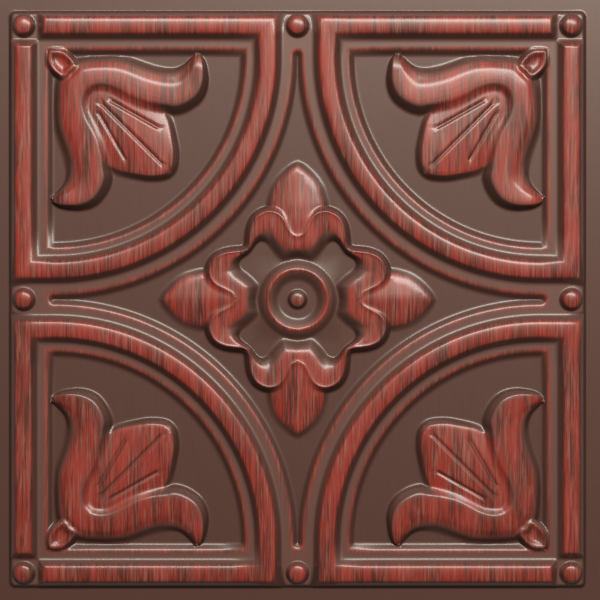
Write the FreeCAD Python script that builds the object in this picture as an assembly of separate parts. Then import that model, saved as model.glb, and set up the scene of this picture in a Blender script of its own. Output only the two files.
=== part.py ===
"""Pressed tin ceiling tile: one square of thin sheet, pressed into relief and hollow from behind.

Millimetres. The origin is the middle of the back of the tile, +Z is the face seen from the room.
The relief is described once, over the flat ground of the sheet. The front face is that relief raised
by the sheet's thickness, and the back face is the same relief with its walls drawn in.
"""
import FreeCAD
import Part
import math
import os

Vector = FreeCAD.Vector

# Sheet
TILE_SIDE = 603.0
SHEET = 0.6
RIM_WIDTH = 13.9

# Bed: the raised band that carries the rods and the balls
BED_HEIGHT = 4.0
BED_WALL_RUN = 0.5
BED_CORNER_RADIUS = 6.0
BED_LEDGE = 0.5

# Rods: the domed mouldings that frame each panel
ROD_WIDTH = 27.6
ROD_WALL_RUN = 4.5
ROD_WALL_RISE = 5.0
ROD_CROWN = 1.6
ROD_LAND = 7.0
ROD_RADIUS = 212.2
ROD_SPACING = 29.6
ROD_END_LEAN = 4.0

# Balls at the corners and at the middle of each side
BALL_RADIUS = 11.8
BALL_HEIGHT = 7.0
BALL_TO_ROD = 3.5
DIMPLE_LAND_SHARE = 0.5
DIMPLE_DEPTH_SHARE = 0.85

# Panels: the four quarter rounds pressed back to the ground
PANEL_LEG_STRIP = 9.4
PANEL_ARC_STRIP = 8.9
PANEL_WALL_RUN = 4.6

# Star field between the four arcs
STAR_TIP_HALF = 0.8
STAR_WALL_RUN = 4.6
STAR_REACH = 247.6

# Rosette in the middle of the star
BOSS_RADIUS = 9.5
BOSS_HEIGHT = 5.0
RING_RADIUS = 29.5
RING_WIDTH = 15.0
RING_HEIGHT = 6.0
RING_WALL_RUN = 6.0
LOBE_RADIUS = 27.0
LOBE_ASIDE = 28.0
LOBE_OUT = 64.5
LOBE_HEIGHT = 8.0
LOBE_WALL_RUN = 4.5
LOBE_EDGE = 2.0
THROAT_RADIUS = 65.0
BOWL_FLOOR = 39.0
DIAMOND_NEAR = 38.0
DIAMOND_FAR = 67.0
DIAMOND_HALF = 30.0
BUD_REACH = 136.5
BUD_HALF_WIDTH = 29.5
BUD_LENGTH = 84.0
BUD_HEIGHT = 8.5
BUD_WALL_RUN = 3.5
BUD_WALL_RISE = 3.5

# Tulip in each panel, measured from a corner just inside the foot of the panel's outer corner
TULIP_INSET = 1.6
PETAL_HEIGHT = 9.0
PETAL_WALL_SHARE = 0.17
PETAL_SHOULDER = 0.55
PETAL_CREST_SHARE = 0.55
SHIELD_REACH = 123.5
SHIELD_RADIUS = 101.0
SHIELD_SPREAD = 67.0
SHIELD_HEIGHT = 6.5
SHIELD_WALL_RUN = 5.0
SHIELD_FALL = 5.0
SHIELD_SLOPE = 0.07
VEIN_WIDTH = 5.0
VEIN_DEPTH = 1.5
VEIN_STEM_SHARE = 0.6
CALYX_REACH = 20.5
CALYX_RADIUS = 18.6
CALYX_SPREAD = 6.5
CALYX_HEIGHT = 7.0
CALYX_WALL_RUN = 4.0
CALYX_DISH_DEPTH = 3.0
CALYX_DISH_RADIUS = 7.5
CALYX_FLOOR_SHARE = 0.5

# How far a raised form is let into what carries it, before they are joined
ROOT = 0.25

# Places that follow from the sizes above
BED_HALF = TILE_SIDE / 2 - RIM_WIDTH
BED_EDGE = BED_HALF - BED_WALL_RUN
ROD_LEG = BED_EDGE - BED_LEDGE - ROD_WIDTH / 2
ROD_STUB = (ROD_SPACING + ROD_WIDTH) / 2
ARC_CENTRE = ROD_STUB + ROD_RADIUS
ROD_END = ROD_LEG - BALL_RADIUS - BALL_TO_ROD
PANEL_HALF = ROD_LEG - ROD_WIDTH / 2 - PANEL_LEG_STRIP - PANEL_WALL_RUN
PANEL_RADIUS = ROD_RADIUS - ROD_WIDTH / 2 - PANEL_ARC_STRIP - PANEL_WALL_RUN
STAR_RADIUS = ARC_CENTRE - STAR_TIP_HALF
HALF_DIAGONAL = math.sqrt(0.5)
TULIP_CORNER = PANEL_HALF - TULIP_INSET
UP = Vector(0, 0, 1)


def side_inset(run, rise):
    """How far the back of a leaning wall lies inside its front, so that the sheet keeps its thickness."""
    return SHEET * math.tan(math.atan2(rise, run) / 2)


def line(start, end):
    return Part.LineSegment(start, end).toShape()


def arc(start, middle, end):
    return Part.Arc(start, middle, end).toShape()


def turned(shape, angle):
    copy = shape.copy()
    copy.rotate(Vector(), UP, angle)
    return copy


def four_ways(shape):
    return [turned(shape, 90 * quarter) for quarter in range(4)]


def over_diagonal(shape):
    """The mirror image over the diagonal of a panel."""
    return shape.mirror(Vector(), Vector(1, -1, 0))


def leaning(outline, run, rise, low, high):
    """A solid whose outline moves by run for each rise. outline(move, height) is a closed wire."""
    lower = outline(run * low / rise, low)
    upper = outline(run * high / rise, high)
    return Part.makeLoft([lower, upper], True, True)


def cone(centre_x, centre_y, radius, run, rise, low, high):
    """A round pad with leaning walls: radius is its size at the ground."""
    slope = run / rise
    foot = Vector(centre_x, centre_y, low)
    return Part.makeCone(radius - slope * low, radius - slope * high, high - low, foot, UP)


def dome(centre_x, centre_y, ground, radius, height, back):
    """A ball that stands out of the ground: round in front, and a straight-sided dimple behind."""
    ball = (radius**2 + height**2) / (2 * height)
    half_angle = math.asin(radius / ball) / 2
    if back:
        foot = radius - SHEET * math.tan(half_angle)
        low = Vector(foot, 0, ground)
        land = Vector(foot * DIMPLE_LAND_SHARE, 0, ground + height * DIMPLE_DEPTH_SHARE)
        top = Vector(0, 0, land.z)
        profile = [line(low, land), line(land, top)]
    else:
        low = Vector(radius, 0, ground)
        middle_drop = ball * (1 - math.cos(half_angle))
        middle = Vector(ball * math.sin(half_angle), 0, ground + height - middle_drop)
        top = Vector(0, 0, ground + height)
        profile = [arc(low, middle, top)]
    root_edge = low - UP * ROOT
    root_axis = Vector(0, 0, root_edge.z)
    profile += [line(top, root_axis), line(root_axis, root_edge), line(root_edge, low)]
    ball_shape = Part.Face(Part.Wire(profile)).revolve(Vector(), UP, 360)
    ball_shape.translate(Vector(centre_x, centre_y, 0))
    return ball_shape


def rounded_square(half, radius, height):
    flat = half - radius
    bend = flat + radius * HALF_DIAGONAL
    edges = []
    for quarter in range(4):
        spin = FreeCAD.Rotation(UP, 90 * quarter)
        start, end, middle, last = [
            spin.multVec(Vector(x, y, height))
            for x, y in ((half, -flat), (half, flat), (bend, bend), (flat, half))
        ]
        edges.append(line(start, end))
        edges.append(arc(end, middle, last))
    return Part.Wire(edges)


def panel_outline(grow, height):
    half = PANEL_HALF + grow
    radius = PANEL_RADIUS + grow
    near = ARC_CENTRE - radius
    slant = ARC_CENTRE - radius * HALF_DIAGONAL
    side_end = Vector(near, half, height)
    arc_start = Vector(near, ARC_CENTRE, height)
    arc_middle = Vector(slant, slant, height)
    arc_end = Vector(ARC_CENTRE, near, height)
    side_start = Vector(half, near, height)
    corner = Vector(half, half, height)
    return Part.Wire([
        line(side_end, arc_start),
        arc(arc_start, arc_middle, arc_end),
        line(arc_end, side_start),
        line(side_start, corner),
        line(corner, side_end),
    ])


def star_outline(grow, height):
    radius = STAR_RADIUS - grow
    tip_half = ARC_CENTRE - radius
    tip_centre = STAR_REACH - STAR_TIP_HALF - STAR_WALL_RUN
    slant = ARC_CENTRE - radius * HALF_DIAGONAL
    edges = []
    for quarter in range(4):
        spin = FreeCAD.Rotation(UP, -90 * quarter)
        points = [
            spin.multVec(Vector(x, y, height))
            for x, y in (
                (tip_half, ARC_CENTRE), (slant, slant), (ARC_CENTRE, tip_half), (tip_centre, tip_half),
                (tip_centre + tip_half, 0), (tip_centre, -tip_half), (ARC_CENTRE, -tip_half),
            )
        ]
        edges.append(arc(*points[0:3]))
        edges.append(line(points[2], points[3]))
        edges.append(arc(*points[3:6]))
        edges.append(line(points[5], points[6]))
    return Part.Wire(edges)


def bed(back):
    """The raised band: a square table with the four panels and the star pressed back out of it."""
    inset = side_inset(BED_WALL_RUN, BED_HEIGHT) if back else 0
    table = leaning(
        lambda move, height: rounded_square(BED_HALF - inset - move, BED_CORNER_RADIUS - inset, height),
        BED_WALL_RUN, BED_HEIGHT, -ROOT, BED_HEIGHT,
    )
    grow = side_inset(PANEL_WALL_RUN, BED_HEIGHT) if back else 0
    panel = leaning(
        lambda move, height: panel_outline(move + grow, height),
        PANEL_WALL_RUN, BED_HEIGHT, -2 * ROOT, BED_HEIGHT + ROOT,
    )
    star_grow = side_inset(STAR_WALL_RUN, BED_HEIGHT) if back else 0
    star = leaning(
        lambda move, height: star_outline(move + star_grow, height),
        STAR_WALL_RUN, BED_HEIGHT, -2 * ROOT, BED_HEIGHT + ROOT,
    )
    return table.cut(four_ways(panel) + [star])


def rod_section(place, back):
    """Leaning walls and a top bevelled to a flat land. place(across, height) is a point of the section."""
    foot = ROD_WIDTH / 2 - (side_inset(ROD_WALL_RUN, ROD_WALL_RISE) if back else 0)
    edge = foot - ROD_WALL_RUN
    root = foot + ROD_WALL_RUN * ROOT / ROD_WALL_RISE
    land = ROD_LAND / 2
    top = ROD_WALL_RISE + ROD_CROWN
    profile = ((root, -ROOT), (edge, ROD_WALL_RISE), (land, top))
    left = [place(-across, height) for across, height in profile]
    right = [place(across, height) for across, height in reversed(profile)]
    return Part.makePolygon(left + right + left[:1])


def rod(back):
    """One rod: leg, mitred corner, quarter arc, mitred corner, leg."""
    end_inset = side_inset(ROD_END_LEAN, ROD_WALL_RISE) if back else 0
    lean = ROD_END_LEAN / ROD_WALL_RISE
    end = ROD_END - end_inset

    def leg_end(across, height):
        return Vector(end - lean * height, ROD_LEG + across, BED_HEIGHT + height)

    def corner(across, height):
        return Vector(ROD_STUB - across, ROD_LEG + across, BED_HEIGHT + height)

    def arc_start(across, height):
        return Vector(ROD_STUB - across, ARC_CENTRE, BED_HEIGHT + height)

    sections = [rod_section(place, back) for place in (leg_end, corner, arc_start)]
    leg = Part.makeLoft(sections[0:2], True, True)
    stub = Part.makeLoft(sections[1:3], True, True)
    bend = Part.Face(sections[2]).revolve(Vector(ARC_CENTRE, ARC_CENTRE, 0), UP, 90)
    return [leg, stub, bend, over_diagonal(stub), over_diagonal(leg)]


def balls(back):
    corner_ball = dome(ROD_LEG, ROD_LEG, BED_HEIGHT, BALL_RADIUS, BALL_HEIGHT, back)
    side_ball = dome(0, ROD_LEG, BED_HEIGHT, BALL_RADIUS, BALL_HEIGHT, back)
    return four_ways(corner_ball) + four_ways(side_ball)


def petal_section(inner, outer, height, back):
    """Section of a tulip petal between its two foot points: leaning walls and a ridged top."""
    across = (outer - inner).normalize()
    inset = SHEET / 2 if back else 0
    inner = inner + across * inset
    outer = outer - across * inset
    run = (outer - inner).Length * PETAL_WALL_SHARE
    shoulder = height * PETAL_SHOULDER
    root_run = across * (run * ROOT / shoulder)
    points = [
        inner - root_run - UP * ROOT,
        inner + across * run + UP * shoulder,
        inner + (outer - inner) * PETAL_CREST_SHARE + UP * height,
        outer - across * run + UP * shoulder,
        outer + root_run - UP * ROOT,
    ]
    return Part.makePolygon(points + points[:1])


def from_corner(along, away):
    """A point of a tulip, measured inwards from its corner of the panel."""
    return Vector(TULIP_CORNER - along, TULIP_CORNER - away, 0)


# Stations of one petal, from the stem to the curled tip: inner foot, outer foot, share of the height
PETAL_STATIONS = (
    ((38.0, 38.0), (15.0, 15.0), 0.9),
    ((47.5, 36.0), (41.5, 1.0), 1.0),
    ((69.5, 44.5), (64.5, 0.5), 1.0),
    ((89.5, 53.5), (92.5, 8.0), 1.0),
    ((111.5, 57.0), (111.5, 13.5), 1.0),
    ((139.0, 54.0), (126.5, 12.5), 1.0),
    ((153.5, 36.5), (132.5, 9.0), 0.9),
    ((153.5, 13.0), (137.0, 4.0), 0.6),
    ((146.0, -1.0), (141.0, -1.5), 0.3),
)


def petal_pair(back):
    """The two outer petals: one swelling body that runs from curled tip to curled tip round the stem."""
    half = [
        petal_section(from_corner(*inner), from_corner(*outer), PETAL_HEIGHT * share, back)
        for inner, outer, share in PETAL_STATIONS
    ]
    other_half = [
        petal_section(from_corner(*inner[::-1]), from_corner(*outer[::-1]), PETAL_HEIGHT * share, back)
        for inner, outer, share in PETAL_STATIONS[:0:-1]
    ]
    return Part.makeLoft(other_half + half, True, True)


def slab(low, high):
    """A flat body over the whole tile between two heights."""
    return Part.makeBox(TILE_SIDE, TILE_SIDE, high - low, Vector(-TILE_SIDE / 2, -TILE_SIDE / 2, low))


def leaf(reach, radius, spread, run, rise, inset):
    """A pointed pad symmetric about the panel's diagonal: the common part of two round pads."""
    chord = spread * HALF_DIAGONAL
    tip = reach / HALF_DIAGONAL
    middle = (tip - math.sqrt(radius**2 - chord**2)) * HALF_DIAGONAL
    half = spread / 2
    centre = from_corner(middle - half, middle + half)
    pad = cone(centre.x, centre.y, radius - inset, run, rise, -ROOT, rise)
    return pad.common(over_diagonal(pad))


def vein(start, end, back):
    """A wedge that presses one V-shaped groove into the shield, narrower at the stem."""
    inset = SHEET / 2 if back else 0
    along = (end - start).normalize()
    aside = along.cross(UP).normalize()
    sections = []
    for point, share in ((start - along * inset, 1.0), (end + along * inset, VEIN_STEM_SHARE)):
        half = VEIN_WIDTH * share + 2 * inset
        depth = VEIN_DEPTH * share + inset
        top = point + UP * depth
        corners = [top + aside * half, top - aside * half, point - UP * depth]
        sections.append(Part.makePolygon(corners + corners[:1]))
    return Part.makeLoft(sections, True, True)


# Veins of the shield, from the outer end to the stem
VEINS = (
    ((108.5, 108.5), (46.0, 46.0)),
    ((72.5, 104.5), (42.5, 54.5)),
    ((104.5, 72.5), (54.5, 42.5)),
)


def shield_roof(along, away):
    """Height of the shield's top: two slopes that meet on the diagonal and fall towards the stem."""
    out = (along + away) / 2
    aside = abs(along - away) / 2
    return SHIELD_HEIGHT - SHIELD_FALL * (1 - out / SHIELD_REACH) - SHIELD_SLOPE * aside


def shield_top():
    """The body under the two slopes of the shield, from its stem to beyond its tip."""
    sections = []
    for out in (0, SHIELD_REACH + SHIELD_WALL_RUN):
        rim = []
        for aside in (-SHIELD_SPREAD, 0, SHIELD_SPREAD):
            point = from_corner(out + aside, out - aside)
            rim.append(point + UP * shield_roof(out + aside, out - aside))
        low = [Vector(point.x, point.y, -SHIELD_HEIGHT) for point in (rim[2], rim[0])]
        sections.append(Part.makePolygon(rim + low + rim[:1]))
    return Part.makeLoft(sections, True, True)


def shield(back):
    """The middle petal: a ridged pad with three grooves that spread from the stem."""
    inset = side_inset(SHIELD_WALL_RUN, SHIELD_HEIGHT) if back else 0
    pad = leaf(SHIELD_REACH, SHIELD_RADIUS, SHIELD_SPREAD, SHIELD_WALL_RUN, SHIELD_HEIGHT, inset)
    veins = []
    for tip, stem in VEINS:
        start = from_corner(*tip) + UP * shield_roof(*tip)
        end = from_corner(*stem) + UP * shield_roof(*stem)
        veins.append(vein(start, end, back))
    return pad.common(shield_top()).cut(veins)


def calyx(back):
    """The small spoon-shaped bud in the corner, with a dished top."""
    inset = side_inset(CALYX_WALL_RUN, CALYX_HEIGHT) if back else 0
    pad = leaf(CALYX_REACH, CALYX_RADIUS, CALYX_SPREAD, CALYX_WALL_RUN, CALYX_HEIGHT, inset)
    if back:
        return pad.common(slab(-ROOT, CALYX_HEIGHT - CALYX_DISH_DEPTH))
    place = from_corner(CALYX_REACH / 2, CALYX_REACH / 2)
    floor = CALYX_HEIGHT - CALYX_DISH_DEPTH
    dish = Part.makeCone(
        CALYX_DISH_RADIUS * CALYX_FLOOR_SHARE, CALYX_DISH_RADIUS, CALYX_DISH_DEPTH, place + UP * floor, UP
    )
    return pad.cut(dish)


def bud(back):
    """One pointed bud of the rosette: leaning walls below a ridged roof."""
    inset = side_inset(BUD_WALL_RUN, BUD_WALL_RISE) if back else 0
    half_length = BUD_LENGTH / 2
    total = half_length**2 / BUD_HALF_WIDTH
    radius = (total + BUD_HALF_WIDTH) / 2
    aside = (total - BUD_HALF_WIDTH) / 2
    out = BUD_REACH - half_length
    roof_run = radius - BUD_WALL_RUN - aside
    roof_rise = BUD_HEIGHT - BUD_WALL_RISE
    roof_foot = aside + roof_run * BUD_HEIGHT / roof_rise
    halves = []
    for side in (-1, 1):
        wall = cone(side * aside, out, radius - inset, BUD_WALL_RUN, BUD_WALL_RISE, -ROOT, BUD_HEIGHT)
        roof = cone(side * aside, out, roof_foot - inset, roof_run, roof_rise, -ROOT, BUD_HEIGHT)
        halves.append(wall.common(roof))
    return halves[0].common(halves[1])


def diamond_outline(grow, height):
    """The flat between two petals: a kite on the diagonal from the ring to the notch."""
    near = DIAMOND_NEAR * HALF_DIAGONAL - grow
    far = DIAMOND_FAR * HALF_DIAGONAL + grow
    middle = (near + far) / 2
    half = DIAMOND_HALF * HALF_DIAGONAL + grow
    left = (middle - half, middle + half)
    right = (middle + half, middle - half)
    corners = ((near, near), right, (far, far), left, (near, near))
    return Part.makePolygon([Vector(x, y, height) for x, y in corners])


def scoops(back):
    """The hollow of the rosette: a bowl from the ring to the lobes, and a flat kite on each diagonal."""
    grow = SHEET / 4 if back else 0
    high = LOBE_HEIGHT + ROOT
    bowl_run = math.hypot(LOBE_ASIDE, LOBE_OUT) + LOBE_RADIUS - LOBE_WALL_RUN - LOBE_EDGE - BOWL_FLOOR
    bowl = cone(0, 0, BOWL_FLOOR + grow, -bowl_run, LOBE_HEIGHT, -ROOT, high)
    kite = leaning(
        lambda move, height: diamond_outline(move + grow, height), LOBE_EDGE, LOBE_HEIGHT, -ROOT, high
    )
    return [bowl] + four_ways(kite)


def rosette(back):
    """Ring and boss in the middle, four two-lobed petals round them, and a bud behind each petal."""
    inset = side_inset(LOBE_WALL_RUN, LOBE_HEIGHT) if back else 0
    low = -ROOT / 2
    throat = cone(0, 0, THROAT_RADIUS - inset, LOBE_WALL_RUN, LOBE_HEIGHT, low, LOBE_HEIGHT)
    left, right = [
        cone(aside, LOBE_OUT, LOBE_RADIUS - inset, LOBE_WALL_RUN, LOBE_HEIGHT, low, LOBE_HEIGHT)
        for aside in (-LOBE_ASIDE, LOBE_ASIDE)
    ]
    flower = throat.fuse(four_ways(left) + four_ways(right) + four_ways(bud(back)))
    flower = flower.cut(scoops(back))
    half_foot = RING_WIDTH / 2 - (side_inset(RING_WALL_RUN, RING_HEIGHT) if back else 0)
    half_top = half_foot - RING_WALL_RUN
    half_root = half_foot + RING_WALL_RUN * ROOT / RING_HEIGHT
    section = Part.makePolygon([
        Vector(RING_RADIUS + aside, 0, height)
        for aside, height in (
            (-half_root, -ROOT), (half_root, -ROOT), (half_top, RING_HEIGHT), (-half_top, RING_HEIGHT),
            (-half_root, -ROOT),
        )
    ])
    ring = Part.Face(section).revolve(Vector(), UP, 360)
    boss = dome(0, 0, 0, BOSS_RADIUS, BOSS_HEIGHT, back)
    return [flower, ring, boss]


def relief(back):
    """All raised forms, over a ground at height 0."""
    forms = [bed(back)]
    tulip = [petal_pair(back), shield(back), calyx(back)]
    for form in rod(back) + tulip:
        forms.extend(four_ways(form))
    forms.extend(balls(back))
    forms.extend(rosette(back))
    return forms


def pressed_tile():
    plate = slab(0, SHEET)
    front = relief(False)
    for form in front:
        form.translate(Vector(0, 0, SHEET))
    solid = plate.multiFuse(front)
    hollow = relief(True)
    return solid.cut(hollow)


def main():
    os.makedirs("parts", exist_ok=True)
    tile = pressed_tile().removeSplitter()
    print("solids", len(tile.Solids), "valid", tile.isValid(), "volume", round(tile.Volume), "mm3")
    print("box", tile.BoundBox)
    Part.Solid(tile.Solids[0]).exportStep("parts/pressed_tile.step")


main()
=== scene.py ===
# %% [markdown]
# # A pressed tin ceiling tile
# The real tile is one square of thin sheet metal. A press squeezes the flat sheet between two dies, so
# every rod, ball and petal stands up in front and is hollow behind. The CAD model already has the sheet
# at its real size, with plain facets. Here the same sheet is pressed again with soft edges, and painted.

import math

import bmesh
import bpy
import numpy as np
from mathutils import Matrix, Vector
from mathutils.geometry import delaunay_2d_cdt


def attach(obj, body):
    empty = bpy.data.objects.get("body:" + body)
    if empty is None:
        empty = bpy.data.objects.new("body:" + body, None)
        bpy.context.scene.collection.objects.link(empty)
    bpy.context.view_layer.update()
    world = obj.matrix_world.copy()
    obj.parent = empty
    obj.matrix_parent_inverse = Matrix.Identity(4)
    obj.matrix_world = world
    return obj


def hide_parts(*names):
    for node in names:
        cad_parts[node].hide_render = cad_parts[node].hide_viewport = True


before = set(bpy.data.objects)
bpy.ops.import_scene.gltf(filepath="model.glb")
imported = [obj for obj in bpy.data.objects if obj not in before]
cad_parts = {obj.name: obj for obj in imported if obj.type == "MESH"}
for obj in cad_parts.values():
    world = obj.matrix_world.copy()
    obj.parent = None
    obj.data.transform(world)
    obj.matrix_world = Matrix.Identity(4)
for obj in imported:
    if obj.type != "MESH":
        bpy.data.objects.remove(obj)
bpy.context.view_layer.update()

# %% [markdown]
# ## Drawing with smooth lines
# A die maker starts from a drawing: the outlines of the ornament, seen from straight above. The pattern is
# the same on both sides of each axis and each diagonal, so only one eighth of it is drawn: from the middle
# of the tile to the middle of its top side, and from there to the corner. The petals have free curves. They
# could be curve objects with handles, but a smooth line through a few measured points is easier to correct.
# All sizes are millimetres on the real tile.

# %% Smooth lines and their mirror images
STEP = 3.8  # distance between the points of a curved line


def smooth_line(points, step=STEP):
    """Points about a step apart on a smooth curve through the given points."""
    points = np.array(points, float)
    knots = np.vstack([2 * points[0] - points[1], points, 2 * points[-1] - points[-2]])
    pieces = []
    for before, start, end, after in zip(knots, knots[1:], knots[2:], knots[3:]):
        count = max(1, round(np.linalg.norm(end - start) / step))
        t = (np.arange(count) / count)[:, None]
        bend = (after - before + 3 * (start - end)) * t**3
        swing = (2 * before - 5 * start + 4 * end - after) * t**2
        pieces.append(start + 0.5 * ((end - before) * t + swing + bend))
    return np.vstack(pieces + [points[-1:]])


def over_diagonal(points):
    return np.asarray(points)[::-1, ::-1]


def over_axis(points):
    return np.asarray(points)[::-1] * (-1, 1)


def closed_loop(outline):
    return np.vstack([outline, outline[:1]])


print("points of a smooth line over 40 mm:", len(smooth_line([(0, 0), (20, 5), (40, 0)])))


# %% Distances in the drawing
def distance_to(places, line):
    """The distance from each place to the nearest point of an open line."""
    starts, sides = line[:-1], np.diff(line, axis=0)
    away = places[:, None] - starts
    share = np.clip((away * sides).sum(-1) / ((sides**2).sum(-1) + 1e-12), 0, 1)
    return np.linalg.norm(away - share[..., None] * sides, axis=-1).min(axis=1)


def is_inside(places, outline):
    """Whether each place lies inside an outline: a ray to the right crosses it an odd number of times."""
    start, end = outline, np.roll(outline, -1, axis=0)
    x, y = places[:, 0, None], places[:, 1, None]
    crosses = (start[:, 1] > y) != (end[:, 1] > y)
    rise = np.where(start[:, 1] == end[:, 1], 1, end[:, 1] - start[:, 1])
    meets = start[:, 0] + (y - start[:, 1]) / rise * (end[:, 0] - start[:, 0])
    return (crosses & (x < meets)).sum(axis=1) % 2 == 1


def signed_depth(places, outline):
    """How deep each place lies inside an outline, and below zero outside it."""
    return np.where(is_inside(places, outline), 1, -1) * distance_to(places, closed_loop(outline))


square = np.array([(0.0, 0.0), (20.0, 0.0), (20.0, 20.0), (0.0, 20.0)])
print("depth in a square of 20 mm:", signed_depth(np.array([(10.0, 4.0), (10.0, -3.0)]), square))

# %% [markdown]
# ## The frame of rods
# Each quarter of the tile is framed by one rod: two straight legs along the sides and a quarter arc. The
# panel inside it and the star between the four arcs are pressed back to the ground. A swept curve could make
# the rod, but it would be a second piece lying on the sheet. Straight legs and arcs need no drawing either,
# only their sizes, because the distance to them is a short sum.

# %% Sizes of the frame
TILE_HALF = 301.5
SHEET = 0.6
BED_HALF = 286.5
BED_CORNER = 6.0
ARC_CENTRE = 240.8
ROD_LEG = 271.4
ROD_RADIUS = 211.4
ROD_HALF = 14.2
ROD_END = 257.5
PANEL_LEG = 248.7
PANEL_RADIUS = 189.9
STAR_RADIUS = 235.2
STAR_TIP = 241.8
BALL_RADIUS = 11.8
CORNER_SOFT = 2.0
print("tile:", 2 * TILE_HALF, "mm, bed:", 2 * BED_HALF, "mm, rod:", 2 * ROD_HALF, "mm wide")


# %% Distances from the frame
def from_arc(x, y):
    """Distance from the centre of the panel's arc, with the arc carried on straight up to the leg."""
    slant = np.hypot(ARC_CENTRE - x, ARC_CENTRE - y)
    return np.where(y > ARC_CENTRE, ARC_CENTRE - x, slant)


def soft_max(first, second, width=CORNER_SOFT):
    """The larger of two distances, with a rounded change between them."""
    blend = np.clip(0.5 + (first - second) / (2 * width), 0, 1)
    return second + (first - second) * blend + width * blend * (1 - blend)


def bed_depth(x, y):
    out_x, out_y = x - BED_HALF + BED_CORNER, y - BED_HALF + BED_CORNER
    beyond = np.hypot(np.maximum(out_x, 0), np.maximum(out_y, 0))
    return BED_CORNER - beyond - np.minimum(np.maximum(out_x, out_y), 0)


def rod_across(x, y):
    return soft_max(y - ROD_LEG, from_arc(x, y) - ROD_RADIUS)


def panel_depth(x, y):
    leg = PANEL_LEG - soft_max(x, y)
    return -soft_max(-leg, from_arc(x, y) - PANEL_RADIUS)


def star_depth(x, y):
    tip = ARC_CENTRE - STAR_RADIUS - np.hypot(x, np.maximum(y - STAR_TIP, 0))
    return np.where(y > ARC_CENTRE, tip, from_arc(x, y) - STAR_RADIUS)


print("depth of the star in the middle:", round(float(star_depth(0.0, 0.0)), 1), "mm")

# %% [markdown]
# ## The tulip
# Each panel holds a tulip on its diagonal: two petals that curl away from each other, a veined shield between
# them and a small spoon-shaped bud at the stem. A petal is a long pad that tapers to a hooked tip. It is drawn
# by its two feet, the outer and the inner one, because the eye reads those two lines first.

# %% Outlines of the petals
petal_outer = smooth_line([
    (230, 230), (222.5, 238.5), (214.5, 241.8), (199, 242.8), (179, 243.3), (169, 241.8), (159, 238.8),
    (149, 235.3), (139, 232.3), (129, 230.3), (119.5, 230.8), (112.5, 234.3), (106.5, 239.8), (101.5, 244.6),
])
petal_inner = smooth_line([
    (205, 205), (199, 207), (194, 207.5), (186, 205.5), (179, 202), (169, 196), (159, 191.5),
    (149, 188.6), (139, 186.6), (129.5, 185), (121.5, 183.5), (111.5, 186), (102.5, 191), (95.5, 197),
    (90.5, 206), (88.6, 216), (89, 224), (91.5, 236), (96.5, 243.6), (101.5, 244.6),
])
petal_rim = np.vstack([petal_outer, petal_inner[-2:0:-1]])
petal_pair = np.vstack([petal_rim, over_diagonal(petal_rim)])
outer_feet = np.vstack([over_diagonal(petal_outer), petal_outer[1:]])
inner_feet = np.vstack([over_diagonal(petal_inner), petal_inner[1:]])
print("points round a petal:", len(petal_rim))

# %% Outlines of the shield, its veins and the stem bud
shield_side = smooth_line([
    (123.4, 123.4), (120.4, 127.4), (118.4, 133), (117.5, 141), (117.5, 149), (119, 159), (121.5, 172),
    (124.5, 182), (134, 198), (150, 207), (170, 213), (192, 217.5), (217, 217),
])
shield_rim = np.vstack([shield_side, over_diagonal(shield_side)[1:-1]])
VEINS = (((135, 135), (193, 193)), ((139, 171), (184, 196.5)), ((171, 139), (196.5, 184)))

stem_side = smooth_line([
    (248.6, 248.6), (243, 250.4), (236, 250.4), (228.5, 247.6), (221.6, 241.4), (216.8, 233),
    (219.6, 226.4), (223.6, 223.6),
], 2.2)
stem_rim = np.vstack([stem_side, over_diagonal(stem_side)[1:-1]])
print("points round the shield:", len(shield_rim), "and the stem bud:", len(stem_rim))

# %% [markdown]
# ## The rosette
# In the middle of the star sits a rosette: a boss in a ring, four petals of two lobes each, and a pointed bud
# behind every petal. The petals slope up from their inner foot to a thin crest and drop steeply behind it, so
# they are drawn by these two lines. The drawing has one lobe only: the others are its mirror images.

# %% Outlines of the rosette
CREST_WALL = 5.4
RING_CREST = 29.8
RING_INNER = 19.2
RING_OUTER = 39.6
BOSS_RADIUS = 10.0
QUARTER_TURN = np.array(((0, -1), (1, 0)))

lobe_crest = smooth_line([
    (0, 61.7), (6, 64.7), (10, 71.6), (14, 79.6), (20, 85.4), (28, 87.4), (36, 85), (42, 80), (45.8, 71.6),
    (47.3, 62), (47.8, 55), (49.8, 49.8),
], 2.6)
lobe_foot = smooth_line([
    (0, 41.5), (8, 40), (14, 38.5), (20, 43), (26, 50), (30, 55.5), (35.8, 58.2), (41, 55.2), (44.8, 50),
    (47.3, 47.3),
], 2.6)
bud_side = smooth_line([
    (0, 138.3), (5, 136.4), (10, 133.3), (20, 124.4), (27, 114.4), (30, 104.5), (31.6, 93.5),
    (29, 76), (16, 57), (0, 50),
], 3.4)
bud_rim = np.vstack([bud_side, over_axis(bud_side)[1:-1]])
print("points of a lobe's crest:", len(lobe_crest), "and round a bud:", len(bud_rim))


# %% Lines round the rosette
def round_the_rosette(line):
    """A line of the eighth, carried on over the axis and over the diagonal."""
    return np.vstack([over_axis(line), line[1:], over_diagonal(line)[1:]])


def closed_flower(line):
    """A line of the eighth, carried on all the way round."""
    quarter = np.vstack([line[:-1], over_diagonal(line)[:-1]])
    return np.vstack([quarter @ np.linalg.matrix_power(QUARTER_TURN, turn) for turn in range(4)])


lobe_crest_round = round_the_rosette(lobe_crest)
lobe_foot_round = round_the_rosette(lobe_foot)
flower = closed_flower(lobe_crest)
flower_heart = closed_flower(lobe_foot)
print("points round the flower:", len(flower))

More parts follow.
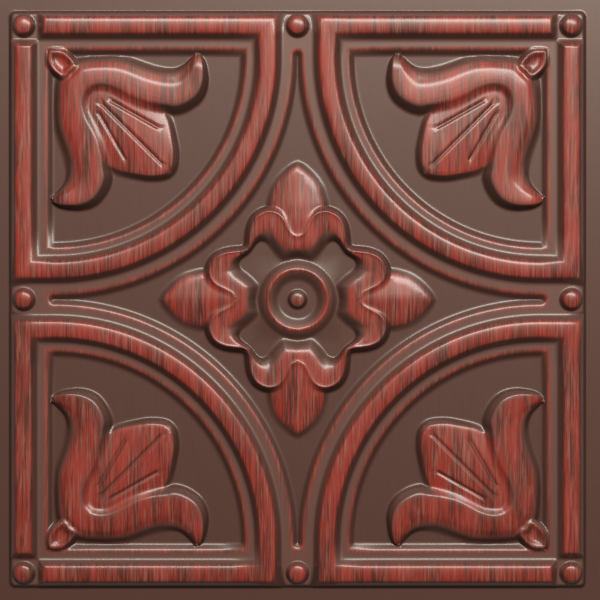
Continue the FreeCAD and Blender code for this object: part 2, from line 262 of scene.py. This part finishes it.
# %% [markdown]
# ## The die
# The die is one function: it gives the height of the sheet at any place of the drawing. Sculpting could make
# such a relief too, but numbers can be checked and changed. Each form is laid over what is there already, with
# a wall that leaves the ground in a small fillet and turns over into the top in a larger one. A profile is a
# short list of distances and heights, and averaging it over a few millimetres rounds its corners. The die also
# says where the red paint catches: a dry brush touches only what stands proud.

# %% Helpers for the die
TINY = 1e-9


def profile(distance, knots, round_off):
    """Heights along a line of knots (distance, height), with the corners rounded off by that distance."""
    at, height = zip(*knots)
    steps = np.linspace(-round_off, round_off, 9)
    return np.mean([np.interp(distance + step, at, height) for step in steps], axis=0)


def ramp(distance, start, end, round_off):
    """A rounded slope from 0 at the start to 1 at the end: a wall, or the edge of the red paint."""
    return profile(distance, ((start, 0), (end, 1)), round_off)


def laid_over(below, top, share):
    return below + (top - below) * share


print("a wall of 6 mm at its foot, middle and top:", ramp(np.array([0.0, 3.0, 6.0]), 0, 6, 1.5).round(2))

# %% [markdown]
# ## The heights of the frame
# The bed is a low step all round. The panels and the star are sunk back through it, which leaves narrow ledges
# beside the rods. The rods are gently crowned, and a ball sits where two of them meet. The brush catches the
# crowns and the balls in full, and the edges of the ledges a little.

# %% Press the frame
BED = 4.0
ROD_EDGE = 8.0
ROD_CROWN = 2.6
BALL = 7.0
LEDGE_RED = 0.65


def press_frame(x, y):
    """Bed, panel, star, rods and balls: the height of the sheet and how much red it takes."""
    height = BED * ramp(bed_depth(x, y), 0, 3.0, 1.0)
    red = np.zeros_like(x)
    for depth in (panel_depth(x, y), star_depth(x, y)):
        height = height * (1 - ramp(depth, 0, 5.8, 1.5))
        edge = profile(depth, ((-3.4, 0), (-1.6, 1), (0.6, 1), (2.0, 0)), 0.4)
        red = np.maximum(red, LEDGE_RED * edge)
    across = rod_across(x, y)
    depth = np.minimum(ROD_HALF - np.abs(across), ROD_END - x)
    crown = ROD_EDGE + ROD_CROWN * (1 - np.clip(np.abs(across) / ROD_HALF, 0, 1) ** 2)
    height = laid_over(height, crown, ramp(depth, 0, 6.4, 1.8))
    red = laid_over(red, 1, ramp(depth, 3.4, 6.2, 0.6))
    for ball_x in (0, ROD_LEG):
        away = np.hypot(x - ball_x, y - ROD_LEG)
        dome = BED + BALL * np.sqrt(np.clip(1 - (away / (BALL_RADIUS + 1)) ** 2, 0, 1))
        height = laid_over(height, dome, ramp(BALL_RADIUS - away, 0, 3.0, 0.9))
        red = laid_over(red, 1, ramp(BALL_RADIUS - away, 1.6, 3.4, 0.5))
    return height, red


print("top of a rod:", press_frame(np.array([100.0]), np.array([ROD_LEG]))[0].round(2), "mm")

# %% [markdown]
# ## The heights of the tulip
# The shield is a low dome with three grooves for veins. A petal has no dome: its top rises from the outer foot
# to a soft ridge and falls to the inner foot, and a profile across the petal says how. The stem bud is a rim
# round a dish, like a spoon.

# %% Press the shield and the stem bud
SHIELD = 6.6
STEM = 7.0
VEIN_HALF = 2.6
VEIN_DEPTH = 1.6


def press_shield(places, height, red):
    x, y = places.T
    along, aside = (x + y) / 2, np.abs(x - y) / 2
    dome = SHIELD + 0.8 - 0.0065 * aside**2 - 2.2 * np.clip((along - 165) / 40, 0, 1) ** 2
    dome = dome - 1.2 * np.clip((150 - along) / 25, 0, 1) ** 2
    vein = np.zeros_like(x)
    for start, end in np.array(VEINS, float):
        run = end - start
        share = np.clip(((places - start) @ run) / (run @ run), 0, 1)
        away = np.linalg.norm(places - start - share[:, None] * run, axis=1)
        dome = dome - profile(away, ((0, VEIN_DEPTH), (VEIN_HALF, 0)), 0.7)
        vein = np.maximum(vein, profile(away, ((0, 1), (VEIN_HALF, 0)), 0.5))
    depth = signed_depth(places, shield_rim)
    height = laid_over(height, dome, ramp(depth, 0, 5.6, 1.2))
    return height, laid_over(red, 1 - 0.5 * vein, ramp(depth, 4.2, 6.4, 0.5))


def press_stem(places, height, red):
    depth = signed_depth(places, stem_rim)
    dish = STEM + 1.0 - 3.4 * ramp(depth, 5.0, 11, 1.6)
    height = laid_over(height, dish, ramp(depth, 0, 4.0, 1.0))
    return height, laid_over(red, 1, ramp(depth, 2.6, 4.2, 0.4))


flat = np.zeros(1)
print("middle of the shield:", press_shield(np.array([(150.0, 160.0)]), flat, flat)[0].round(2), "mm")

# %% Press the petals
PETAL = 9.0
PETAL_TOP = (
    (0, 0.34), (0.16, 0.50), (0.36, 0.85), (0.42, 0.91), (0.56, 0.97), (0.70, 1.0), (0.80, 0.99), (1, 0.92),
)
OUTER_WALL = 0.16
INNER_WALL = 0.17
FULL_WIDTH = 20.0  # a petal narrower than this is lower too


def petal_share(places):
    """Where a place lies from the petal's outer foot (0) to its inner foot (1), and the petal's width."""
    outer = distance_to(places, outer_feet)
    inner = distance_to(places, inner_feet)
    width = outer + inner + TINY
    return outer / width, width


def press_petals(places, height, red):
    across, width = petal_share(places)
    depth = signed_depth(places, petal_pair)
    top = PETAL * profile(across, PETAL_TOP, 0.03) * np.clip(width / FULL_WIDTH, 0.2, 1) ** 0.5
    wall = depth / (width * np.where(across < 0.5, OUTER_WALL, INNER_WALL))
    height = laid_over(height, top, ramp(wall, 0, 1, 0.18))
    return height, laid_over(red, 1, ramp(wall, 0.95, 1.7, 0.2))


print("ridge of a petal:", press_petals(np.array([(150.0, 205.0)]), flat, flat)[0].round(2), "mm")

# %% [markdown]
# ## The heights of the rosette
# A bud is a roof with a soft ridge that falls to the tip. The lobes are laid over the buds: outside the crest
# there is a steep wall, and inside it a long slope, which is given as shares of the way from the foot to the
# crest because its width changes all the time. The ring and the boss stand on the ground, so the higher of
# the two surfaces wins.

# %% Press the buds and the lobes
BUD = 8.5
BUD_FALL = ((60, 0.99), (80, 1.04), (94, 0.97), (122, 0.68), (140, 0.46))
LOBE = 8.0
LOBE_SLOPE = ((0, 0), (0.15, 0.30), (0.33, 0.70), (0.46, 0.87), (0.60, 0.94), (1.0, 1.0), (1.2, 1.02))
CREST_EDGE = 0.6


def lobe_share(places):
    """Where a place lies from a lobe's foot (0) to its crest (1), and how far the crest is away."""
    from_crest = distance_to(places, lobe_crest_round)
    from_foot = distance_to(places, lobe_foot_round)
    return from_foot / (from_foot + from_crest + TINY), from_crest


def press_bud(places, height, red):
    x, y = places.T
    depth = signed_depth(places, bud_rim)
    ridge = BUD * np.interp(y, *zip(*BUD_FALL)) - 0.16 * np.sqrt(x**2 + 24)
    ridge = ridge - 0.8 * profile(depth, ((6.0, 1), (9.5, 0)), 0.6)
    height = laid_over(height, ridge, ramp(depth, 0, 5.6, 1.1))
    return height, laid_over(red, 1, ramp(depth, 4.4, 6.4, 0.5))


def press_lobes(places, height, red):
    share, from_crest = lobe_share(places)
    up = np.where(is_inside(places, flower_heart), -1, 1) * share
    edge = CREST_EDGE * profile(from_crest, ((0, 1), (2.4, 0)), 0.4)
    drop = profile(CREST_WALL - from_crest, ((0, 0), (2 * CREST_WALL, 2)), 1.1)
    outside_height = laid_over(height, LOBE, drop) + edge
    outside_red = laid_over(red, 1, ramp(CREST_WALL - from_crest, 3.2, 5.0, 0.5))
    inside_height = LOBE * profile(up, LOBE_SLOPE, 0.06) + edge
    inside_red = ramp(up, 0.34, 0.50, 0.05)
    inside = is_inside(places, flower)
    return np.where(inside, inside_height, outside_height), np.where(inside, inside_red, outside_red)


print("crest of a lobe:", press_lobes(np.array([(28.0, 87.0)]), flat, flat)[0].round(2), "mm")

# %% Press the ring and the boss
RING = 5.5
BOSS = 5.0
BOSS_RED = 0.8


def press_ring(places, height, red):
    away = np.hypot(*places.T)
    ring = profile(away, ((RING_INNER, 0), (RING_CREST, 1), (RING_OUTER, 0)), 1.2)
    boss = BOSS * np.sqrt(np.clip(1 - (away / (BOSS_RADIUS + 0.5)) ** 2, 0, 1))
    boss = boss * ramp(BOSS_RADIUS - away, 0, 2.5, 0.8)
    height = np.maximum(height, np.maximum(RING * ring, boss))
    red = np.maximum(red, ramp(ring, 0.72, 0.9, 0.05))
    return height, np.maximum(red, BOSS_RED * ramp(BOSS_RADIUS - away, 3.5, 6, 0.5))


print("top of the boss:", press_ring(np.zeros((1, 2)), flat, flat)[0].round(2), "mm")

# %% Put the die together
TULIP_REACH = 84.0
ROSETTE_REACH = 150.0


def press(places):
    """The die: the height of the ground side of the sheet, and its share of red, at each place."""
    x, y = places.T
    height, red = press_frame(x, y)
    tulip = (y < PANEL_LEG + 4) & (x > TULIP_REACH) & (from_arc(x, y) < PANEL_RADIUS - 6)
    rosette = np.hypot(x, y) < ROSETTE_REACH
    for near, forms in (
        (tulip, (press_shield, press_petals, press_stem)),
        (rosette, (press_bud, press_lobes, press_ring)),
    ):
        for form in forms:
            height[near], red[near] = form(places[near], height[near], red[near])
    return height, np.clip(red, 0, 1)


print("die at the middle and at a rod:", press(np.array([(0.0, 0.0), (100.0, ROD_LEG)]))[0].round(2), "mm")

# %% [markdown]
# ## The contour lines
# A plain grid would need millions of squares to follow the walls. A map maker draws contour lines instead,
# close together where the ground is steep. The same is done here: lines run along every foot, wall and
# rounded edge, and a constrained fill joins them with triangles that never cross a line.

# %% The drawing board
MARGIN = 5.0  # how far the lines run past the edges of the eighth, where they are cut off later
ARC_STEP = 6.5
LEG_STEP = 28.0
plan = []


def draw(points):
    plan.append(np.asarray(points, float))


def straight(start, end, step=LEG_STEP):
    count = max(2, int(np.linalg.norm(np.subtract(end, start)) / step) + 2)
    return np.linspace(start, end, count)


def arc(centre, radius, angles):
    return np.array(centre, float) + radius * np.stack([np.cos(angles), np.sin(angles)], axis=1)


def frame_arc(radius):
    """The arc of a panel or of the star, from the middle of a side to just past the diagonal."""
    sweep = math.radians(45) + MARGIN / radius
    angles = np.linspace(0, sweep, max(3, int(radius * sweep / ARC_STEP)))
    return arc((ARC_CENTRE, ARC_CENTRE), -radius, angles)


def frame_line(leg, radius, end):
    """A line along a leg, round the corner and along the arc to the diagonal."""
    corner_x = ARC_CENTRE - radius
    along = straight((end, leg), (corner_x, leg))[:-1]
    down = straight((corner_x, leg), (corner_x, ARC_CENTRE))[:-1]
    return np.vstack([along, down, frame_arc(radius)])


print("points of the rod's middle line:", len(frame_line(ROD_LEG, ROD_RADIUS, ROD_END)))

# %% Lines of the rods, the panels and the star
ROD_SIDES = (6.2, 7.4, 8.4, 9.6, 11.2, 12.6, 13.6, 14.6, 15.8)
HOLLOW_LINES = (-3.2, -1.6, -0.5, 0.5, 1.6, 4.2, 5.2, 6.2, 7.3, 8.8)
NARROWEST_TIP = 0.5

for across in (0, 3.4, -3.4, *ROD_SIDES, *(-side for side in ROD_SIDES), -17, 16.4):
    draw(frame_line(ROD_LEG + across, ROD_RADIUS + across, ROD_END + 2))
for inward in HOLLOW_LINES:
    draw(frame_line(PANEL_LEG - inward, PANEL_RADIUS - inward, PANEL_LEG - inward + MARGIN))
for inward in HOLLOW_LINES:
    draw(frame_arc(STAR_RADIUS + inward))
    tip_half = ARC_CENTRE - (STAR_RADIUS + inward)
    if tip_half > NARROWEST_TIP:
        draw(straight((tip_half, ARC_CENTRE), (tip_half, STAR_TIP)))
        draw(arc((0, STAR_TIP), tip_half, np.linspace(0, math.pi, 13)))
print("lines so far:", len(plan))

# %% Lines of the bed, the rods' ends and the balls
for inward in (-10, -6, -2.4, -1.0, -0.2, 0.6, 1.3, 2.0, 2.8):
    half, bend = BED_HALF - inward, BED_CORNER - inward
    corner = arc((half - bend, half - bend), bend, np.linspace(math.pi / 2, 0, 9))
    draw(np.vstack([straight((-MARGIN, half), corner[0])[:-1], corner]))
for inward in (-1.7, -0.7, 0.4, 1.6, 4.6, 5.7, 6.6, 7.7, 8.8):
    end_x = ROD_END - inward
    draw(straight((end_x, ROD_LEG - ROD_HALF - 1), (end_x, ROD_LEG + ROD_HALF), 2.5))
for ball_x in (0, ROD_LEG):
    for inward in (-1.6, -0.7, 0, 0.9, 2, 3.2, 4.4, 6.2, 8.4, 10.4):
        draw(arc((ball_x, ROD_LEG), BALL_RADIUS - inward, np.linspace(0, 2 * math.pi, 29)))
print("lines of the frame:", len(plan))

# %% [markdown]
# ## Lines beside other lines
# The free curves have no radius, so their contour lines are found from the drawing. Beside a foot, each point
# is moved straight out by a distance, and points that land too near another part of the foot are left out, or
# the line would fold over itself. Across a petal or a lobe, straight rungs run from one line to the other, and
# the place of each contour is looked up on every rung.

# %% Helpers for lines beside other lines
RUNG_POINTS = 61


def beside(line, offset):
    """A line that runs beside another at a distance, to its left, without the points that fold back."""
    ahead = np.gradient(line, axis=0)
    ahead /= np.linalg.norm(ahead, axis=1)[:, None]
    moved = line + offset * np.stack([-ahead[:, 1], ahead[:, 0]], axis=1)
    kept = distance_to(moved, line) > abs(offset) - 0.06
    for run in np.split(np.arange(len(line)), np.flatnonzero(~kept)):
        run = run[kept[run]]
        if len(run) > 1:
            draw(moved[run])


def respaced(line, count):
    at = np.linspace(0, 1, count)
    return np.stack([np.interp(at, np.linspace(0, 1, len(line)), axis) for axis in line.T], axis=1)


def between(first, second, shares, share_of):
    """Lines at given shares of the way between two lines, found on straight rungs between them."""
    count = max(len(first), len(second))
    starts, ends = respaced(first, count), respaced(second, count)
    steps = np.linspace(0, 1, RUNG_POINTS)
    places = starts[:, None] + steps[:, None] * (ends - starts)[:, None]
    found = share_of(places.reshape(-1, 2))[0].reshape(count, -1)
    for share in shares:
        at = np.array([np.interp(share, np.maximum.accumulate(row), steps) for row in found])
        draw(starts + at[:, None] * (ends - starts))


print("rungs of a petal:", max(len(petal_outer), len(petal_inner)))

# %% Lines of the tulip
PETAL_SHARES = (
    0.03, 0.08, 0.13, 0.17, 0.24, 0.31, 0.35, 0.38, 0.41, 0.44, 0.48, 0.58, 0.70, 0.78, 0.82, 0.86, 0.92, 0.97,
)

for inward in (-2.4, -1.1, 0, 1.1, 2.8, 4.4, 5.5, 6.7, 10, 16, 24):
    beside(closed_loop(shield_rim), -inward)
for start, end in VEINS[:2]:
    for aside in (-4.4, -3.4, -2.3, -0.9, 0, 0.9, 2.3, 3.4, 4.4):
        beside(straight(start, end, 5.0), aside)
draw(petal_outer)
draw(petal_inner)
between(petal_outer, petal_inner, PETAL_SHARES, petal_share)
for outward in (1.3, 2.8):
    beside(petal_outer, -outward)
    beside(petal_inner, outward)
for inward in (-2.2, -1.0, 0, 1.0, 3.0, 4.0, 5.0, 6.8, 8.6, 10.4, 12.6):
    beside(closed_loop(stem_rim), inward)
print("lines with the tulip:", len(plan))

# %% Lines of the rosette
LOBE_SHARES = (0.06, 0.12, 0.20, 0.28, 0.35, 0.42, 0.48, 0.56, 0.66, 0.80)
RING_LINES = (
    3, 6, 7.6, 9, 10, 11, 12.2, 17, 18.4, 19.6, 20.8, 22, 25, 28, 29.2, 30.4, 31.6, 35, 36.6, 37.6, 38.6, 39.8,
)

for inward in (-2.4, -1.1, 0, 1.1, 2.8, 4.5, 5.6, 6.7, 10, 16):
    beside(closed_loop(bud_rim), -inward)
draw(straight((0, 60), (0, 140), 4))
for aside in (2.6, 5.6):
    draw(straight((aside, 66), (aside, 128), 5))
for outward in (-2.4, -1.2, 0, 1.2, 2.4, 4.0, 4.8, 5.6, 6.6, 8.0):
    beside(lobe_crest_round, outward)
between(lobe_foot, lobe_crest, LOBE_SHARES, lobe_share)
for inward in (0, 1.0, 2.2):
    beside(lobe_foot_round, -inward)
for radius in RING_LINES:
    draw(arc((0, 0), radius, np.linspace(math.radians(40), math.radians(95), max(8, int(radius * 0.5)))))
print("all lines:", len(plan))

# %% [markdown]
# ## Pressing the sheet
# The lines are filled with triangles, cut along the symmetry lines with bisect_plane, and lifted by the die.
# Three mirrors then make the whole tile from the eighth, so every flower is the same to the last point.
# Mirrored faces look the other way, so the normals are set right before the sheet gets its thickness.

# %% Fill the lines
points = []
edges = []
for line in plan:
    x, y = line.T
    near = (x > -MARGIN - 0.1) & (y > x - 2 * MARGIN) & (y < TILE_HALF - 0.01) & (y > -MARGIN)
    numbers = {}
    for index in np.flatnonzero(near):
        numbers[index] = len(points)
        points.append(Vector(line[index]))
    edges += [(numbers[i], numbers[i + 1]) for i in numbers if i + 1 in numbers]
first = len(points)
triangle = ((-MARGIN, -4 * MARGIN), (-MARGIN, TILE_HALF), (TILE_HALF + 3 * MARGIN, TILE_HALF))
points += [Vector(corner) for corner in triangle]
edges += [(first, first + 1), (first + 1, first + 2), (first + 2, first)]
filled = delaunay_2d_cdt(points, edges, [], 0, 0.02)
print("contour points:", len(points), "triangles of the eighth:", len(filled[2]))


# %% Cut the eighth
def everything(mesh):
    return mesh.verts[:] + mesh.edges[:] + mesh.faces[:]


sheet = bmesh.new()
corners = [sheet.verts.new((p.x, p.y, 0)) for p in filled[0]]
for face in filled[2]:
    sheet.faces.new([corners[i] for i in face])
for normal in ((-1, 0, 0), (1, -1, 0)):
    bmesh.ops.bisect_plane(
        sheet, geom=everything(sheet), dist=0.05, plane_co=(0, 0, 0), plane_no=normal, clear_outer=True)
bmesh.ops.remove_doubles(sheet, verts=sheet.verts[:], dist=0.08)
bmesh.ops.triangulate(sheet, faces=sheet.faces[:])
print("triangles left after the cuts:", len(sheet.faces))

# %% Lift the eighth
MM = 0.001
NEAR = 0.3  # how far away the die is asked again to find the slope of a wall
flat_places = np.array([vert.co.xy for vert in sheet.verts])
heights, reds = press(flat_places)
rises = [(press(flat_places + step)[0] - heights) / NEAR for step in ((NEAR, 0), (0, NEAR))]
slopes = np.clip(np.hypot(*rises), 0, 1)
red_layer = sheet.verts.layers.float.new("dry_brush")
wall_layer = sheet.verts.layers.float.new("wall")
for vert, height, red, slope in zip(sheet.verts, heights, reds, slopes):
    vert.co = Vector((vert.co.x, vert.co.y, height + SHEET)) * MM
    vert[red_layer] = red
    vert[wall_layer] = slope
print("highest point:", round(float(heights.max()) + SHEET, 2), "mm")

# %% Mirror the eighth
MERGE = 0.02 * MM
diagonal = Matrix.Rotation(math.radians(45), 4, "Z")
upright = Matrix.Identity(4)
for matrix, axis in ((diagonal, "Y"), (upright, "X"), (upright, "Y")):
    bmesh.ops.mirror(sheet, geom=everything(sheet), matrix=matrix, merge_dist=MERGE, axis=axis)
bmesh.ops.remove_doubles(sheet, verts=sheet.verts[:], dist=MERGE)
bmesh.ops.recalc_face_normals(sheet, faces=sheet.faces[:])
if sum(face.normal.z for face in sheet.faces) < 0:
    bmesh.ops.reverse_faces(sheet, faces=sheet.faces[:])
for edge in sheet.edges:
    edge.smooth = not edge.is_boundary
print("front of the sheet:", len(sheet.verts), "points,", len(sheet.faces), "triangles")

# %% [markdown]
# ## The thickness of the sheet
# The second die presses the back of the sheet into the same shape. A Solidify modifier does that: it offsets
# the back along the normals by the thickness of the sheet and closes the cut edges. The edges stay sharp, and
# all else is shaded smoothly, with normals weighted by the corner angles so that long thin triangles don't
# show in the bright lines along the feet.

# %% Give the sheet its thickness
tile_mesh = bpy.data.meshes.new("tin_sheet")
sheet.to_mesh(tile_mesh)
sheet.free()
tile_mesh.shade_smooth()
tile = bpy.data.objects.new("tin_sheet", tile_mesh)
bpy.context.collection.objects.link(tile)
thickness = tile.modifiers.new("sheet_thickness", "SOLIDIFY")
thickness.thickness = SHEET * MM
thickness.offset = -1
thickness.use_even_offset = False
shading = tile.modifiers.new("even_shading", "WEIGHTED_NORMAL")
shading.mode = "CORNER_ANGLE"
shading.keep_sharp = True
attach(tile, "root")
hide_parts("pressed_tile")
print("tile:", len(tile_mesh.polygons), "faces")

# %% [markdown]
# ## The paint
# The sheet is painted a satin brown and varnished. When the brown is dry, a stiff brush with very little red
# is drawn over it in one direction, and only the raised forms catch it. A picture could hold the strokes, but
# nodes stay sharp at any size. The material starts with the colours and the gloss: a coat for the varnish, over
# a warm sheen for the paint.

# %% Colours and gloss
BROWN = (0.090, 0.035, 0.025, 1)
# the ledges painted lighter: a painted sheen
LEDGE_PAINTED_SHEEN = (0.135, 0.057, 0.042, 1)
RED = (0.322, 0.031, 0.018, 1)
GAP = (0.077, 0.020, 0.013, 1)
# pale flecks: worn red and a painted sheen of glossier streaks
PALE_WEAR_AND_SHEEN = (0.310, 0.110, 0.080, 1)
# the dark of the wash and of the painted shade on the walls
SHADE = (0.030, 0.012, 0.008, 1)

paint = bpy.data.materials.new("brown_and_red_paint")
paint.use_nodes = True
nodes, links = paint.node_tree.nodes, paint.node_tree.links
shader = nodes["Principled BSDF"]
shader.inputs["Specular IOR Level"].default_value = 0.5
shader.inputs["Specular Tint"].default_value = (1.0, 0.88, 0.72, 1)
shader.inputs["Coat Weight"].default_value = 0.45
shader.inputs["Coat Roughness"].default_value = 0.20
tile_mesh.materials.append(paint)
print("paint:", paint.name)


# %% Helpers for the nodes
def node(kind, inputs=(), **settings):
    """A node with its settings, and its inputs as values or as the outputs that feed them."""
    made = nodes.new(kind)
    for key, value in settings.items():
        setattr(made, key, value)
    for key, value in dict(inputs).items():
        if isinstance(value, bpy.types.NodeSocket):
            links.new(value, made.inputs[key])
        else:
            made.inputs[key].default_value = value
    return made


def limits(value, start, end, low=0.0, high=1.0, blend="LINEAR"):
    """A value that goes from low to high while another goes from start to end."""
    ends = {"From Min": start, "From Max": end, "To Min": low, "To Max": high}
    return node("ShaderNodeMapRange", {"Value": value, **ends}, interpolation_type=blend).outputs["Result"]


def times(first, second):
    return node("ShaderNodeMath", {0: first, 1: second}, operation="MULTIPLY").outputs["Value"]


def painted(share, under, over):
    """One colour brushed over another."""
    made = node("ShaderNodeMix", {"Factor": share, "A": under, "B": over}, data_type="RGBA")
    return made.outputs["Result"]


place = node("ShaderNodeTexCoord")


def noise(size, detail, roughness):
    """A noise with so many waves to the metre along each side of the tile."""
    spread = node("ShaderNodeMapping", {"Vector": place.outputs["Object"], "Scale": size})
    inputs = {"Vector": spread.outputs["Vector"], "Scale": 1.0, "Detail": detail, "Roughness": roughness}
    return node("ShaderNodeTexNoise", inputs).outputs["Fac"]


print("nodes so far:", len(nodes))

# %% [markdown]
# ## The strokes of the brush
# The strokes run up and down the tile. They are a noise texture squeezed across the stroke and stretched along
# it, with larger patches where the brush ran dry. The die's own attribute says where the red catches, and
# only the front of the sheet gets any. The ledges beside the rods are painted lighter than the ground as a
# painted sheen, and the height above the floor tells where they are.

# %% Brush the red over the brown
GRAIN_SIZE = (700, 24, 60)
PATCH_SIZE = (55, 14, 20)
LEDGE_FOOT = 0.0030
LEDGE_TOP = 0.0046

grain = noise(GRAIN_SIZE, 4.0, 0.65)
patches = noise(PATCH_SIZE, 2.0, 0.5)
uneven = node("ShaderNodeMath", {0: patches, 1: 0.55, 2: grain}, operation="MULTIPLY_ADD")
stroke = painted(limits(uneven.outputs["Value"], 0.58, 0.90, blend="SMOOTHSTEP"), GAP, RED)

facing = node("ShaderNodeSeparateXYZ", {"Vector": place.outputs["Normal"]})
front = node("ShaderNodeMath", {0: facing.outputs["Z"], 1: 0.0}, operation="GREATER_THAN")
brushed = node("ShaderNodeAttribute", attribute_name="dry_brush")
caught = times(brushed.outputs["Fac"], front.outputs["Value"])
level = node("ShaderNodeSeparateXYZ", {"Vector": place.outputs["Object"]})
# The ledges are painted lighter than the ground, a painted sheen.
ground_and_ledge_sheen = painted(limits(level.outputs["Z"], LEDGE_FOOT, LEDGE_TOP), BROWN, LEDGE_PAINTED_SHEEN)
colour = painted(caught, ground_and_ledge_sheen, stroke)
print("nodes with the strokes:", len(nodes))

# %% [markdown]
# ## Wear, gloss and painted shade
# Fine pale flecks show where the red has worn, and they also paint in a sheen of glossier streaks. The steep
# walls are painted darker, partly an old dark wash and partly painted shade, and darkest on the sides that look
# down the tile, away from the soft box, where it is painted shade. The grain changes the gloss a little too,
# and a slow wave in the surface bends the reflections as on any thin sheet.

# %% Add worn and sheen flecks, wash with painted shade, and waves
FLECK_SIZE = (560, 30, 60)
WAVE_SIZE = (130, 70, 70)

# Pale flecks: worn red, and a painted sheen for glossier streaks.
worn_and_sheen_flecks = times(caught, limits(noise(FLECK_SIZE, 3.0, 0.6), 0.50, 0.74))
flecked_with_wear_and_sheen = painted(worn_and_sheen_flecks, colour, PALE_WEAR_AND_SHEEN)
steep = node("ShaderNodeAttribute", attribute_name="wall")
# A dark wash and painted shade on the steep walls.
wash_and_painted_shade = limits(steep.outputs["Fac"], 0.3, 0.78, high=0.72)
# Painted shade: darker on the walls that face down the tile, away from the soft box.
faces_away_painted_shade = limits(facing.outputs["Y"], -0.1, 0.4, low=1.0, high=0.4)
# The paint, darkened toward SHADE by the wash and the painted shade.
links.new(painted(times(wash_and_painted_shade, faces_away_painted_shade), flecked_with_wear_and_sheen, SHADE), shader.inputs["Base Color"])

links.new(limits(grain, 0.3, 0.7, low=0.40, high=0.48), shader.inputs["Roughness"])
waves = node("ShaderNodeBump", {"Height": noise(WAVE_SIZE, 1.0, 0.5), "Strength": 0.15, "Distance": 0.0003})
links.new(waves.outputs["Normal"], shader.inputs["Normal"])
print("paint nodes:", len(nodes))

# %% [markdown]
# ## Floor, light and camera
# The tile lies on a pale studio floor. One soft box hangs beyond its top side, a little to the right, so the
# upper edges of the relief catch the light and the lower ones fall into shade. A sun lamp would be simpler,
# but its hard shadows would hide the soft walls. The camera looks straight down.

# %% Floor
FLOOR_HALF = 4.0
FLOOR_DROP = 0.0002  # keeps the floor and the back of the rim apart

floor_mesh = bpy.data.meshes.new("studio_floor")
ground = bmesh.new()
bmesh.ops.create_grid(ground, x_segments=1, y_segments=1, size=FLOOR_HALF)
bmesh.ops.translate(ground, verts=ground.verts[:], vec=(0, 0, -FLOOR_DROP))
ground.to_mesh(floor_mesh)
ground.free()
floor = bpy.data.objects.new("studio_floor", floor_mesh)
bpy.context.collection.objects.link(floor)

floor_paint = bpy.data.materials.new("pale_floor")
floor_paint.use_nodes = True
floor_shader = floor_paint.node_tree.nodes["Principled BSDF"]
floor_shader.inputs["Base Color"].default_value = (0.62, 0.61, 0.59, 1)
floor_shader.inputs["Roughness"].default_value = 0.6
floor_mesh.materials.append(floor_paint)
print("floor:", 2 * FLOOR_HALF, "m wide")

# %% Light
BOX_PLACE = Vector((0.37, 1.55, 2.60))

lamp = bpy.data.lights.new("soft_box", "AREA")
lamp.shape = "RECTANGLE"
lamp.size, lamp.size_y = 2.6, 0.75
lamp.energy = 117
soft_box = bpy.data.objects.new("soft_box", lamp)
soft_box.location = BOX_PLACE
soft_box.rotation_euler = (-BOX_PLACE).to_track_quat("-Z", "Y").to_euler()
bpy.context.collection.objects.link(soft_box)

world = bpy.data.worlds.new("studio")
world.use_nodes = True
background = world.node_tree.nodes["Background"]
background.inputs["Color"].default_value = (1.0, 0.96, 0.90, 1)
background.inputs["Strength"].default_value = 0.10
bpy.context.scene.world = world
print("soft box:", round(BOX_PLACE.length, 2), "m from the tile")

# %% Camera
SEEN_WIDTH = 0.597  # metres of the tile across the picture

lens = bpy.data.cameras.new("camera")
lens.sensor_width = 36.0
lens.lens = 100.0
camera = bpy.data.objects.new("camera", lens)
camera.location = (0.0025, -0.0005, SEEN_WIDTH * lens.lens / lens.sensor_width)
bpy.context.collection.objects.link(camera)
bpy.context.scene.camera = camera
bpy.context.scene.view_settings.view_transform = "Standard"
print("camera height:", round(camera.location.z, 3), "m")
